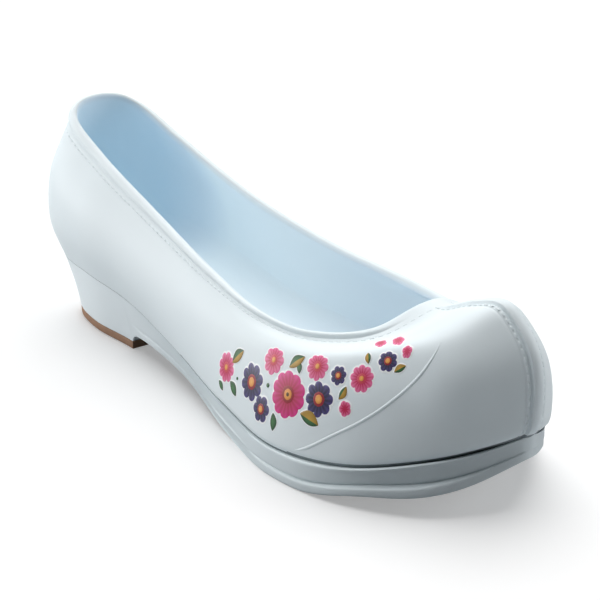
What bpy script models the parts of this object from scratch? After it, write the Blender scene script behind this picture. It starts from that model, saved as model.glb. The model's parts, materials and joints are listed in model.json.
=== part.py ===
"""A women's slip-on shoe of moulded rubber with an upturned toe and a low wedge heel, for the right foot.

It stands on the floor with the toe along +X, the outer (lateral) side along -Y and +Z up.
Tables and sizes are in millimetres, with x measured forward from the back of the heel and widths
measured sideways from the line through heel and toe. Finished meshes are in metres.
"""

import math
from collections import namedtuple
from functools import partial

import bmesh
import bpy
import numpy as np

MM = 0.001

Section = namedtuple("Section", "x lateral medial height")
Profile = namedtuple("Profile", "x height")
EdgeRow = namedtuple("EdgeRow", "share outset rise")
RimRow = namedtuple("RimRow", "below_edge outer inner")

# Driving sizes
LENGTH = 254.5
WALL = 2.2
SEAT_GAP = 0.3
LATERAL_REACH = 48.8
MEDIAL_REACH = 41.2

# Bottom edge of the upper, where it sits on the sole
FEATHER = (
    Section(4.6, 0.0, 0.0, 22.4),
    Section(6.8, 13.0, 12.4, 22.5),
    Section(13.0, 20.4, 19.4, 22.6),
    Section(37.0, 25.4, 25.0, 22.6),
    Section(65.0, 26.4, 26.2, 20.4),
    Section(105.0, 32.4, 28.2, 15.2),
    Section(145.0, 42.1, 34.0, 11.5),
    Section(180.0, 47.0, 38.2, 9.0),
    Section(210.0, 40.8, 35.4, 11.4),
    Section(232.4, 26.3, 24.0, 17.1),
    Section(243.5, 12.6, 11.5, 21.5),
    Section(250.2, 0.0, 0.0, 25.6),
)

# Crest of the rim round the foot opening, from the back of the heel to the throat
COLLAR = (
    Section(6.0, 0.0, 0.0, 80.4),
    Section(8.2, 9.6, 9.2, 79.4),
    Section(14.0, 14.6, 14.0, 76.4),
    Section(35.0, 17.2, 16.9, 68.1),
    Section(75.0, 19.8, 19.5, 56.1),
    Section(115.0, 24.4, 24.5, 47.4),
    Section(150.0, 29.0, 28.6, 43.4),
    Section(174.5, 27.3, 26.3, 43.3),
    Section(193.5, 17.5, 17.0, 47.6),
    Section(203.3, 0.0, 0.0, 57.0),
)

# Outer edge of the tread and of the heel's walking face
TREAD = (
    Section(11.0, 0.0, 0.0, 0.0),
    Section(13.0, 10.6, 10.2, 0.0),
    Section(18.6, 17.4, 16.8, 0.0),
    Section(37.0, 22.8, 22.6, 0.0),
    Section(63.0, 23.4, 24.2, 0.0),
    Section(105.0, 29.4, 27.4, 0.0),
    Section(145.0, 40.0, 36.0, 0.0),
    Section(181.0, 48.8, 41.2, 0.0),
    Section(211.0, 44.6, 37.8, 0.0),
    Section(237.0, 28.6, 19.4, 0.0),
    Section(247.2, 11.2, 5.6, 0.0),
    Section(250.5, 0.0, 0.0, 0.0),
)

# Centre line of the heel from the sole up to the rim, and of the toe from the sole over to the throat
HEEL_LINE = (
    Profile(4.6, 22.4),
    Profile(2.8, 28.5),
    Profile(0.8, 36.5),
    Profile(0.0, 46.5),
    Profile(0.5, 59.0),
    Profile(3.4, 71.5),
    Profile(6.0, 80.4),
)
TOE_LINE = (
    Profile(250.2, 25.6),
    Profile(253.0, 29.2),
    Profile(254.5, 43.0),
    Profile(252.1, 53.3),
    Profile(245.8, 61.0),
    Profile(238.3, 65.5),
    Profile(226.0, 62.5),
    Profile(213.0, 57.2),
    Profile(203.3, 57.0),
)
HEEL_REACH = 0.48
HEEL_SIDE_GAIN = 0.6
TOE_REACH = 0.61
TOE_ROUND = 0.58
SIDE_FULLNESS = 2.5

# Roundness of the toe cap's outer side, then its middle and reach in shares of the wall's length and height
CAP_FULLNESS = 3.0
CAP_MIDDLE = (0.92, 0.45)
CAP_REACH = (0.07, 0.35)

# Underside of the sole: heel seat, breast, arch, flat tread and toe spring
UNDERSIDE = (
    Profile(0.0, 3.3),
    Profile(63.0, 3.3),
    Profile(63.6, 4.6),
    Profile(65.2, 5.8),
    Profile(68.0, 6.3),
    Profile(85.0, 6.1),
    Profile(105.0, 4.9),
    Profile(125.0, 2.6),
    Profile(143.0, 0.7),
    Profile(155.0, 0.0),
    Profile(196.0, 0.0),
    Profile(210.0, 2.4),
    Profile(224.0, 6.5),
    Profile(236.0, 10.2),
    Profile(245.0, 13.7),
    Profile(250.5, 17.6),
)
HEEL_FRONT = 63.0
TOE_ROLL = 0.13
TOE_ROLL_START = 212.0
TOE_ROLL_LENGTH = 34.0

# Side of the sole from its top edge down to the tread: share of height, share of outset, and rise
SOLE_EDGE = (
    EdgeRow(0.00, 0.10, 0.0),
    EdgeRow(0.02, 0.28, 0.7),
    EdgeRow(0.05, 0.55, 0.7),
    EdgeRow(0.20, 0.60, 0.0),
    EdgeRow(0.38, 0.65, 0.0),
    EdgeRow(0.56, 0.70, 0.0),
    EdgeRow(0.62, 0.50, 0.0),
    EdgeRow(0.68, 0.90, 0.0),
    EdgeRow(0.94, 1.00, 0.0),
    EdgeRow(1.00, 0.86, 0.0),
)
HEEL_WAIST = 0.35
WELT_START = 105.0
WELT_FULL = 155.0
WELT_LIFT_END = 244.0
WELT_LIFT_FADE = 12.0
LEDGE_LEAST = 0.6

# Tread grooves across the forefoot
GROOVE_FIRST = 150.0
GROOVE_PITCH = 7.0
GROOVE_COUNT = 13
GROOVE_WIDTH = 2.0
GROOVE_DEPTH = 1.0
GROOVE_BORDER = 5.0

# Rolled rim, toe piping and heel strip on the outside of the upper
RIM_ROWS = (
    RimRow(5.2, 0.0, -WALL),
    RimRow(4.3, -0.2, -WALL),
    RimRow(3.6, 0.7, -WALL),
    RimRow(2.0, 1.1, -WALL),
    RimRow(0.7, 0.6, -1.8),
)
RIM_CREST_OFFSET = -0.6
PIPING_HALF_WIDTH = 1.7
PIPING_HEIGHT = 0.8
PIPING_STEP = 0.5
STRIP_HALF_WIDTH = 5.0
STRIP_HEIGHT = 0.5
WALL_LEVELS = (0.0, 0.06, 0.14, 0.24, 0.36, 0.48, 0.60, 0.72, 0.83)
WALL_STATIONS = 27

# Raised seam round the toe cap, in shares of the wall's length and height
CAP_SEAM = ((0.69, 0.0), (0.716, 0.05), (0.767, 0.172), (0.829, 0.305), (0.875, 0.415), (0.905, 0.51),
            (0.93, 0.595), (0.96, 0.66), (1.0, 0.70))
CAP_SEAM_RADIUS = 0.8
CAP_SEAM_SINK = 0.25
CAP_SEAM_LOWEST = 0.03
CAP_SEAM_FOREMOST = 0.985

HEEL_TAP_HEIGHT = 3.0
HEEL_TAP_CENTRE = 22.0
INSOLE_THICKNESS = 2.6

# Stations along the sole: the run of both round ends, the heel breast and the sides
END_STATIONS = 7
HEEL_END_RUN = 24.0
TOE_END_RUN = 34.0
BREAST_STATIONS = (63.0, 63.05, 63.6, 65.2, 68.0)
HEEL_STATIONS = (42.0, 52.0)
FORE_STATIONS = (76.0, 86.0, 96.0, 106.0, 116.0, 126.0, 136.0, 145.0, 155.0, 164.0, 174.0, 184.0,
                 196.0, 206.0)
SHARP_ANGLE = 40.0

LATERAL, MEDIAL = -1, 1
FINE = 24


def smooth(t):
    """Soft ramp from 0 to 1."""
    t = np.clip(t, 0.0, 1.0)
    return t * t * (3.0 - 2.0 * t)


def hump(t):
    """Soft rise that is 1 at 0 and ends at -1 and 1."""
    return np.cos(np.clip(t, -1.0, 1.0) * math.pi / 2) ** 2


def spline_through(points, before, after):
    """Dense points on a centripetal Catmull-Rom curve through the given points."""
    knots = [np.asarray(p, float) for p in (before, *points, after)]
    dense = []
    for p0, p1, p2, p3 in zip(knots, knots[1:], knots[2:], knots[3:]):
        t0 = 0.0
        t1 = t0 + np.linalg.norm(p1 - p0) ** 0.5
        t2 = t1 + np.linalg.norm(p2 - p1) ** 0.5
        t3 = t2 + np.linalg.norm(p3 - p2) ** 0.5
        for t in np.linspace(t1, t2, FINE, endpoint=False):
            a1 = ((t1 - t) * p0 + (t - t0) * p1) / (t1 - t0)
            a2 = ((t2 - t) * p1 + (t - t1) * p2) / (t2 - t1)
            a3 = ((t3 - t) * p2 + (t - t2) * p3) / (t3 - t2)
            b1 = ((t2 - t) * a1 + (t - t0) * a2) / (t2 - t0)
            b2 = ((t3 - t) * a2 + (t - t1) * a3) / (t3 - t1)
            dense.append(((t2 - t) * b1 + (t - t1) * b2) / (t2 - t1))
    dense.append(knots[-2])
    return np.array(dense)


class Line:
    """A dense curve read by its share of length, from 0 to 1."""

    def __init__(self, points):
        self.points = points
        steps = np.linalg.norm(np.diff(points, axis=0), axis=1)
        self.share = np.concatenate([[0.0], np.cumsum(steps)]) / steps.sum()

    def at(self, share):
        return np.stack([np.interp(share, self.share, column) for column in self.points.T], -1)


def height_over(table):
    """Height as a smooth function of x, from a table with x and height columns."""
    rows = [(row.x, row.height) for row in table]
    first = 2 * np.array(rows[0]) - rows[1]
    last = 2 * np.array(rows[-1]) - rows[-2]
    dense = spline_through(rows, first, last)
    return lambda x: np.interp(x, dense[:, 0], dense[:, 1])


def side_line(table, side):
    """One side of a table's outline, rounded at both ends, with its height."""
    near = [(row.x, (row.lateral if side == LATERAL else row.medial) * side) for row in table]
    far = [(row.x, -(row.medial if side == LATERAL else row.lateral) * side) for row in table]
    plan = spline_through(near, far[1], far[-2])
    heights = height_over(table)(plan[:, 0])
    return Line(np.column_stack([plan, heights]))


def centre_line(table):
    """A profile in the shoe's middle plane."""
    rows = [(row.x, 0.0, row.height) for row in table]
    first = 2 * np.array(rows[0]) - rows[1]
    last = 2 * np.array(rows[-1]) - rows[-2]
    return Line(spline_through(rows, first, last))


feather = {side: side_line(FEATHER, side) for side in (LATERAL, MEDIAL)}
collar = {side: side_line(COLLAR, side) for side in (LATERAL, MEDIAL)}
tread_line = {side: side_line(TREAD, side) for side in (LATERAL, MEDIAL)}
heel_line = centre_line(HEEL_LINE)
toe_line = centre_line(TOE_LINE)
seat_height = height_over(FEATHER)


def swell(line, v):
    """How far a profile stands out from the straight line between its ends."""
    ends = line.at(np.array([0.0, 1.0]))
    return line.at(v) - ((1 - v)[..., None] * ends[0] + v[..., None] * ends[1])


def outward(side, u):
    """Level direction out of the shoe along the feather line."""
    line = feather[side]
    turn = np.gradient(line.points[:, :2], axis=0)
    out = np.column_stack([-turn[:, 1], turn[:, 0]]) * side
    out[0] = (-1.0, 0.0)
    out[-1] = (1.0, 0.0)
    out /= np.linalg.norm(out, axis=1, keepdims=True)
    return np.stack([np.interp(u, line.share, out[:, 0]), np.interp(u, line.share, out[:, 1])], -1)


def wall(side, u, v):
    """Outside of the upper: u runs from heel to toe, v from the sole up to the rim or throat."""
    u, v = np.broadcast_arrays(np.asarray(u, float), np.asarray(v, float))
    low, high = feather[side].at(u), collar[side].at(u)
    body = (1 - v)[..., None] * low + v[..., None] * high
    from_toe = np.clip((1 - u) / TOE_REACH, 0.0, 1.0)
    toe_share = (1 - from_toe) ** 2 * (1 + 2 * TOE_ROUND * from_toe)
    body = body + toe_share[..., None] * swell(toe_line, v)
    heel_share = 1 - smooth(u / HEEL_REACH)
    counter = swell(heel_line, v) * heel_share[..., None]
    out = outward(side, u)
    body[..., :2] -= counter[..., :1] * (1 + HEEL_SIDE_GAIN * np.abs(out[..., 1:])) * out
    body[..., 2] += counter[..., 2]
    body[..., 1] += side * SIDE_FULLNESS * 4 * v * (1 - v) * np.sin(math.pi * u)
    if side == LATERAL:
        cap = hump((u - CAP_MIDDLE[0]) / CAP_REACH[0]) * hump((v - CAP_MIDDLE[1]) / CAP_REACH[1])
        body[..., :2] += CAP_FULLNESS * cap[..., None] * out
    return body


def wall_slopes(side, u, v):
    """Change of the wall along u and along v, in millimetres per unit."""
    step = 0.004
    u_low, u_high = np.clip(u - step, 0, 1), np.clip(u + step, 0, 1)
    v_low, v_high = np.clip(v - step, 0, 1), np.clip(v + step, 0, 1)
    along_u = (wall(side, u_high, v) - wall(side, u_low, v)) / (u_high - u_low)[..., None]
    along_v = (wall(side, u, v_high) - wall(side, u, v_low)) / (v_high - v_low)[..., None]
    return along_u, along_v


def wall_normal(side, u, v):
    """Outward normal, kept in the middle plane at heel and toe and level at the bottom edge."""
    along_u, along_v = wall_slopes(side, u, v)
    normal = np.cross(along_u, along_v) * -side
    middle = (u < 1e-6) | (u > 1 - 1e-6)
    normal[..., 1] = np.where(middle, 0.0, normal[..., 1])
    normal[..., 2] *= smooth(v / 0.08)
    return normal / np.linalg.norm(normal, axis=-1, keepdims=True)


def wall_columns():
    """Columns along one side: each a share of length or a distance from the heel or toe line."""
    strip = (0.0, STRIP_HALF_WIDTH, STRIP_HALF_WIDTH + PIPING_STEP)
    piping = (PIPING_HALF_WIDTH + PIPING_STEP, PIPING_HALF_WIDTH, PIPING_HALF_WIDTH / 2, 0.0)
    stations = np.linspace(0.055, 0.965, WALL_STATIONS)
    columns = [("heel", d, STRIP_HEIGHT if d <= STRIP_HALF_WIDTH else 0.0) for d in strip]
    columns += [("side", u, 0.0) for u in stations]
    columns += [("toe", d, PIPING_HEIGHT if d <= PIPING_HALF_WIDTH else 0.0) for d in piping]
    return columns


def column_shares(side, column, v):
    """The u of a column at the given v values."""
    kind, value, _ = column
    if kind == "side":
        return np.full_like(v, value)
    end = np.zeros_like(v) if kind == "heel" else np.ones_like(v)
    along_u, _ = wall_slopes(side, end, v)
    reach = value / np.linalg.norm(along_u, axis=-1)
    return reach if kind == "heel" else 1 - reach


def ring_columns():
    """Every column once round the shoe: lateral side heel to toe, then medial side back."""
    columns = wall_columns()
    lateral = [(LATERAL, column) for column in columns]
    medial = [(MEDIAL, column) for column in columns[1:-1]]
    return lateral + medial[::-1]


def upper_ring(level, offset, relief):
    """One closed ring of the upper at a wall level or, for a RimRow, at a distance below the rim."""
    ring = []
    for side, column in ring_columns():
        if isinstance(level, RimRow):
            edge = np.array(1.0)
            u = column_shares(side, column, edge)
            _, along_v = wall_slopes(side, u, edge)
            v = edge - level.below_edge / np.linalg.norm(along_v, axis=-1)
        else:
            v = np.array(float(level))
        u = column_shares(side, column, v)
        raised = column[2] if relief else 0.0
        normal = wall_normal(side, u, v)
        ring.append(wall(side, u, v) + (offset + raised) * normal)
    return np.array(ring)


def upper_rings():
    """Rings up the outside of the upper, over the rim, and down its inside."""
    rings = [upper_ring(level, 0.0, True) for level in WALL_LEVELS]
    rings += [upper_ring(row, row.outer, row is RIM_ROWS[0]) for row in RIM_ROWS]
    rings.append(upper_ring(RimRow(0.0, 0.0, 0.0), RIM_CREST_OFFSET, False))
    rings += [upper_ring(row, row.inner, False) for row in RIM_ROWS[:2:-1]]
    rings += [upper_ring(level, -WALL, False) for level in WALL_LEVELS[::-1]]
    return rings


def outline_stations():
    """x positions along the sole, close together at the round ends and at the heel breast."""
    start, end = FEATHER[0].x, FEATHER[-1].x
    turn = np.linspace(0, math.pi / 2, END_STATIONS)
    heel_end = start + HEEL_END_RUN * (1 - np.cos(turn))
    toe_end = end - TOE_END_RUN * (1 - np.cos(turn[::-1]))
    breast = [seat_x(x) for x in BREAST_STATIONS]
    return np.concatenate([heel_end, HEEL_STATIONS, breast, FORE_STATIONS, toe_end])


def tread_x(x):
    """Place along the tread that lies under a place along the feather line."""
    share = (x - FEATHER[0].x) / (FEATHER[-1].x - FEATHER[0].x)
    return TREAD[0].x + share * (TREAD[-1].x - TREAD[0].x)


def seat_x(x):
    """Place along the feather line that lies over a place along the tread."""
    share = (x - TREAD[0].x) / (TREAD[-1].x - TREAD[0].x)
    return FEATHER[0].x + share * (FEATHER[-1].x - FEATHER[0].x)


def side_at(line, x):
    """Sideways place of an outline at x."""
    return float(np.interp(x, line.points[:, 0], line.points[:, 1]))


def round_ring(stations, place):
    """Closed ring of place(side, x) points: lateral side heel to toe, then medial side back."""
    lateral = [place(LATERAL, x) for x in stations]
    medial = [place(MEDIAL, x) for x in stations[1:-1]]
    return np.array(lateral + medial[::-1])


underside_height = height_over(UNDERSIDE)


def underside(x):
    """Height of the tread surface, exactly flat under the heel and the forefoot."""
    if x <= HEEL_FRONT + 0.01:
        return UNDERSIDE[0].height
    return max(float(underside_height(x)), 0.0)


def toe_roll(x):
    """Sideways slope of the tread, which lies lower on the outer side of the toe."""
    return TOE_ROLL * float(smooth((x - TOE_ROLL_START) / TOE_ROLL_LENGTH))


def sole_point(row, side, x):
    """Point on one row of the sole's side at a station."""
    below = tread_x(x)
    seat = np.array([x, side_at(feather[side], x), float(seat_height(x)) - SEAT_GAP])
    tread = np.array([below, side_at(tread_line[side], below), underside(below)])
    tread[2] += toe_roll(below) * tread[1]
    fore = float(smooth((x - WELT_START) / (WELT_FULL - WELT_START)))
    overhang = side * (tread[1] - seat[1])
    lift = fore * float(smooth((WELT_LIFT_END - x) / WELT_LIFT_FADE) * smooth(overhang - LEDGE_LEAST))
    waist = row.share * (1 + HEEL_WAIST * (1 - row.share))
    outset = fore * row.outset + (1 - fore) * waist
    point = seat + outset * (tread - seat)
    point[2] = seat[2] + lift * row.rise - row.share * (seat[2] - tread[2])
    return point


def inset_point(inset, rise, side, x):
    """Point inside the feather line, at a height above the seat."""
    line = feather[side]
    u = float(np.interp(x, line.points[:, 0], line.share))
    out = outward(side, u)
    point = np.array([x, side_at(line, x)]) - inset * out
    return np.array([*point, float(seat_height(x)) + rise])


def make_material(name, colour, roughness):
    material = bpy.data.materials.new(name)
    material.use_nodes = True
    shader = material.node_tree.nodes["Principled BSDF"]
    shader.inputs["Base Color"].default_value = (*colour, 1.0)
    shader.inputs["Roughness"].default_value = roughness
    shader.inputs["Metallic"].default_value = 0.0
    return material


def loft(bm, rings, closed):
    """Skins neighbouring closed rings with quads and returns the rings' vertices."""
    loops = [[bm.verts.new((p - ORIGIN) * MM) for p in ring] for ring in rings]
    pairs = list(zip(loops, loops[1:]))
    if closed:
        pairs.append((loops[-1], loops[0]))
    for low, high in pairs:
        for k in range(len(low)):
            after = (k + 1) % len(low)
            bm.faces.new((low[k], low[after], high[after], high[k]))
    return loops


def ladder(bm, loop):
    """Closes a ring with rungs from its lateral to its medial side."""
    count = len(loop)
    half = count // 2
    bm.faces.new((loop[0], loop[1], loop[count - 1]))
    for k in range(1, half - 1):
        bm.faces.new((loop[k], loop[k + 1], loop[count - k - 1], loop[count - k]))
    bm.faces.new((loop[half - 1], loop[half], loop[half + 1]))


def make_object(name, bm, material, collection):
    """Turns a bmesh into a smooth-shaded object with its faces pointing out."""
    bmesh.ops.recalc_face_normals(bm, faces=bm.faces)
    if bm.calc_volume(signed=True) < 0:
        bmesh.ops.reverse_faces(bm, faces=bm.faces)
    mesh = bpy.data.meshes.new(name)
    bm.to_mesh(mesh)
    bm.free()
    mesh.shade_smooth()
    mesh.set_sharp_from_angle(angle=math.radians(SHARP_ANGLE))
    mesh.materials.append(material)
    obj = bpy.data.objects.new(name, mesh)
    collection.objects.link(obj)
    return obj


def add_boolean(obj, tool, operation):
    modifier = obj.modifiers.new(operation.title(), "BOOLEAN")
    modifier.operation = operation
    modifier.object = tool
    tool.hide_render = True
    tool.display_type = "WIRE"


def make_cap_seam(name, side, material, tools):
    """Half-sunk round bead along the toe cap's edge on one side, as a tool for a union."""
    ends = np.array(CAP_SEAM)
    path = spline_through(ends, 2 * ends[0] - ends[1], 2 * ends[-1] - ends[-2])
    path = path[:: FINE // 4]
    path[0, 1] = CAP_SEAM_LOWEST
    u, v = np.minimum(path[:, 0], CAP_SEAM_FOREMOST), path[:, 1]
    points = wall(side, u, v) - CAP_SEAM_SINK * wall_normal(side, u, v)
    curve = bpy.data.curves.new(name, "CURVE")
    curve.dimensions = "3D"
    curve.bevel_depth = CAP_SEAM_RADIUS * MM
    curve.bevel_resolution = 1
    curve.use_fill_caps = True
    spline = curve.splines.new("POLY")
    spline.points.add(len(points) - 1)
    for knot, point in zip(spline.points, points):
        knot.co = (*((point - ORIGIN) * MM), 1.0)
    wire = bpy.data.objects.new(name, curve)
    tools.objects.link(wire)
    graph = bpy.context.evaluated_depsgraph_get()
    mesh = bpy.data.meshes.new_from_object(wire.evaluated_get(graph))
    bpy.data.objects.remove(wire)
    bm = bmesh.new()
    bm.from_mesh(mesh)
    bmesh.ops.remove_doubles(bm, verts=bm.verts, dist=0.01 * MM)
    return make_object(name, bm, material, tools)


def make_upper(material, collection, tools):
    """Hollow moulded upper, open at the foot opening and underneath."""
    bm = bmesh.new()
    loft(bm, upper_rings(), closed=True)
    upper = make_object("upper", bm, material, collection)
    for side, word in ((LATERAL, "lateral"), (MEDIAL, "medial")):
        add_boolean(upper, make_cap_seam(f"cap_seam_{word}", side, material, tools), "UNION")
    return upper


def make_tread_cutter(material, tools):
    """Bars that cut the tread grooves, each square to the underside."""
    bm = bmesh.new()
    for k in range(GROOVE_COUNT):
        x = GROOVE_FIRST + k * GROOVE_PITCH
        slope = (underside(x + 1) - underside(x - 1)) / 2
        bar = bmesh.ops.create_cube(bm, size=1.0)["verts"]
        sides = [side_at(tread_line[side], x) - side * GROOVE_BORDER for side in (LATERAL, MEDIAL)]
        size = (GROOVE_WIDTH * MM, (sides[1] - sides[0]) * MM, 2 * GROOVE_DEPTH * MM)
        bmesh.ops.scale(bm, vec=size, verts=bar)
        turn = (math.cos(math.atan(slope)), math.sin(math.atan(slope)))
        roll = toe_roll(x)
        middle = sum(sides) / 2
        centre = (np.array([x, middle, underside(x) + roll * middle]) - ORIGIN) * MM
        for vert in bar:
            along, up = vert.co.x, vert.co.z + roll * vert.co.y
            vert.co.x = along * turn[0] - up * turn[1] + centre[0]
            vert.co.y += centre[1]
            vert.co.z = along * turn[1] + up * turn[0] + centre[2]
    return make_object("tread_cutter", bm, material, tools)


def make_sole(material, collection, tools):
    """Wedge sole with heel block, arch, stepped welt and grooved tread."""
    stations = outline_stations()
    bm = bmesh.new()
    rings = [round_ring(stations, partial(sole_point, row)) for row in SOLE_EDGE]
    loops = loft(bm, rings, closed=False)
    ladder(bm, loops[0])
    ladder(bm, loops[-1])
    sole = make_object("sole", bm, material, collection)
    add_boolean(sole, make_tread_cutter(material, tools), "DIFFERENCE")
    return sole


def tap_ring(height, inset):
    """Ring of the heel tap: the heel's walking face drawn in a little, straight at the breast."""
    stations = [tread_x(x) for x in outline_stations() if tread_x(x) < HEEL_FRONT + 0.01]
    lateral = [(x, side_at(tread_line[LATERAL], x)) for x in stations]
    medial = [(x, side_at(tread_line[MEDIAL], x)) for x in stations[:0:-1]]
    plan = np.array(lateral + medial)
    middle = np.array([HEEL_FRONT - HEEL_TAP_CENTRE, 0.0])
    drawn = middle + (plan - middle) * (1 - inset / HEEL_TAP_CENTRE)
    return np.column_stack([drawn, np.full(len(drawn), height)])


def make_heel_tap(material, collection):
    """Tan walking piece under the heel block, flat underneath."""
    rows = ((0.0, 0.5), (0.5, 0.1), (HEEL_TAP_HEIGHT - 0.3, 0.0), (HEEL_TAP_HEIGHT, 0.2))
    bm = bmesh.new()
    loops = loft(bm, [tap_ring(*row) for row in rows], closed=False)
    for loop in (loops[0], loops[-1]):
        bm.faces.new(loop)
    return make_object("heel_tap", bm, material, collection)


def make_insole(material, collection):
    """Thin footbed on the sole, inside the upper."""
    stations = outline_stations()
    rows = ((WALL + 0.6, 0.0), (WALL + 1.3, INSOLE_THICKNESS - 0.6), (WALL + 2.6, INSOLE_THICKNESS))
    bm = bmesh.new()
    loops = loft(bm, [round_ring(stations, partial(inset_point, *row)) for row in rows], closed=False)
    ladder(bm, loops[0])
    ladder(bm, loops[-1])
    return make_object("insole", bm, material, collection)


ORIGIN = np.array([LENGTH / 2, (MEDIAL_REACH - LATERAL_REACH) / 2, 0.0])


def main():
    for obj in list(bpy.data.objects):
        bpy.data.objects.remove(obj)
    scene = bpy.context.scene.collection
    shoe = bpy.data.collections.new("rubber_shoe")
    tools = bpy.data.collections.new("cutters")
    scene.children.link(shoe)
    scene.children.link(tools)
    pale_rubber = make_material("pale_blue_rubber", (0.72, 0.80, 0.84), 0.42)
    sole_rubber = make_material("sole_rubber", (0.68, 0.76, 0.80), 0.48)
    tan_rubber = make_material("tan_rubber", (0.36, 0.22, 0.15), 0.6)
    footbed = make_material("blue_footbed", (0.45, 0.62, 0.76), 0.6)
    make_upper(pale_rubber, shoe, tools)
    make_sole(sole_rubber, shoe, tools)
    make_heel_tap(tan_rubber, shoe)
    make_insole(footbed, shoe)


main()
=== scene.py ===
import json
import math

import bpy
import numpy as np
from mathutils import Matrix, Vector

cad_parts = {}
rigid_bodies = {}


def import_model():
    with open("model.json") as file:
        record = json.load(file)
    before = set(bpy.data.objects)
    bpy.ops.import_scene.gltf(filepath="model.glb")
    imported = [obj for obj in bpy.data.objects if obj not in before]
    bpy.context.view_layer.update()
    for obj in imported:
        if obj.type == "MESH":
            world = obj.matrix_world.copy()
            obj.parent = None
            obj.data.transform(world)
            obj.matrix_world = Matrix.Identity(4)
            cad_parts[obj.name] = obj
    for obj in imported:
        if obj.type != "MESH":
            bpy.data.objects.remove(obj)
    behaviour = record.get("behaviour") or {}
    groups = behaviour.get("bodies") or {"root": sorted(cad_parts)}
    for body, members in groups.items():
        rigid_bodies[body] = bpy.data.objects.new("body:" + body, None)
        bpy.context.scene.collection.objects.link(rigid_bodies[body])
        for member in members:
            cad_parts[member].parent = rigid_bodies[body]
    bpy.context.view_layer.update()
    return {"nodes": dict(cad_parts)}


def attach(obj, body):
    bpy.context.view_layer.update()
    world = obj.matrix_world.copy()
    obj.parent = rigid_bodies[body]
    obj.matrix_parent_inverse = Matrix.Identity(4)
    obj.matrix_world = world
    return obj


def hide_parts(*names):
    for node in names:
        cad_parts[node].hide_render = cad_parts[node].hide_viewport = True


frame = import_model()
bpy.ops.object.select_all(action="DESELECT")
print("frame loaded with", ", ".join(sorted(frame["nodes"])))

mm = 0.001
lateral, medial = bothSides = -1, 1

# measures in mm: x runs forward from the back of the heel, widths from the heel-to-toe line
shoe = {
    "origin": (127.25, -3.8, 0.0),
    "wall": 2.2,
    "seatGap": 0.3,
    # x, lateral, medial, height of the edge where the upper meets the sole
    "feather": (
        (4.6, 0, 0, 22.4), (6.8, 13, 12.4, 22.5), (13, 20.4, 19.4, 22.6), (37, 25.4, 25, 22.6),
        (65, 26.4, 26.2, 20.4), (105, 32.4, 28.2, 15.2), (145, 42.1, 34, 11.5),
        (180, 47, 38.2, 9), (210, 40.8, 35.4, 11.4), (232.4, 26.3, 24, 17.1),
        (243.5, 12.6, 11.5, 21.5), (250.2, 0, 0, 25.6),
    ),
    # x, lateral, medial, height of the crest round the foot opening
    "collar": (
        (6, 0, 0, 80.4), (8.2, 9.6, 9.2, 79.4), (14, 14.6, 14, 76.4), (35, 17.2, 16.9, 68.1),
        (75, 19.8, 19.5, 56.1), (115, 24.4, 24.5, 47.4), (150, 29, 28.6, 43.4),
        (174.5, 27.3, 26.3, 43.3), (193.5, 17.5, 17, 47.6), (203.3, 0, 0, 57),
    ),
    # x, lateral, medial, height of the walking edge
    "tread": (
        (11, 0, 0, 0), (13, 10.6, 10.2, 0), (18.6, 17.4, 16.8, 0), (37, 22.8, 22.6, 0),
        (63, 23.4, 24.2, 0), (105, 29.4, 27.4, 0), (145, 40, 36, 0),
        (181, 48.8, 41.2, 0), (211, 44.6, 37.8, 0), (237, 28.6, 19.4, 0),
        (247.2, 11.2, 5.6, 0), (250.5, 0, 0, 0),
    ),
    # x, height up the back of the heel, and from the sole over the toe to the throat
    "heelLine": ((4.6, 22.4), (2.8, 28.5), (0.8, 36.5), (0, 46.5), (0.5, 59), (3.4, 71.5), (6, 80.4)),
    "toeLine": (
        (250.2, 25.6), (253, 29.2), (254.5, 43), (252.1, 53.3), (245.8, 61), (238.3, 65.5),
        (226, 62.5), (213, 57.2), (203.3, 57),
    ),
    "heelReach": 0.48,
    "heelSideGain": 0.6,
    "toeReach": 0.61,
    "toeRound": 0.58,
    "sideFullness": 2.5,
    "capFullness": 3.0,  # roundness of the cap's outer side
    "capMiddle": (0.92, 0.45),  # where it is fullest along and up the wall, and how far it reaches
    "capReach": (0.07, 0.35),
    "levelFoot": 0.08,  # share of the height over which the wall's normal turns from level
    # x, height of the underside
    "underside": (
        (0, 3.3), (63, 3.3), (63.6, 4.6), (65.2, 5.8), (68, 6.3), (85, 6.1), (105, 4.9),
        (125, 2.6), (143, 0.7), (155, 0), (196, 0), (210, 2.4), (224, 6.5), (236, 10.2),
        (245, 13.7), (250.5, 17.6),
    ),
    "heelFront": 63.0,
    # sideways slope of the tread under the toe, where it starts, and its run-in
    "toeRoll": (0.13, 212.0, 34.0),
}
origin = np.array(shoe["origin"])


# curves and surfaces that the pieces share

def smooth(t):
    t = np.clip(t, 0.0, 1.0)
    return t * t * (3.0 - 2.0 * t)


def easeIn(x, start, run):
    return smooth((x - start) / run)


def easeOut(x, end, run):
    return smooth((end - x) / run)


def lengths(vectors):
    return np.linalg.norm(vectors, axis=-1)


def unit(vectors):
    return vectors / np.linalg.norm(vectors, axis=-1, keepdims=True)


def hump(t):
    # soft rise that is 1 at 0 and ends at -1 and 1
    return np.cos(np.clip(t, -1.0, 1.0) * math.pi / 2) ** 2


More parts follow.
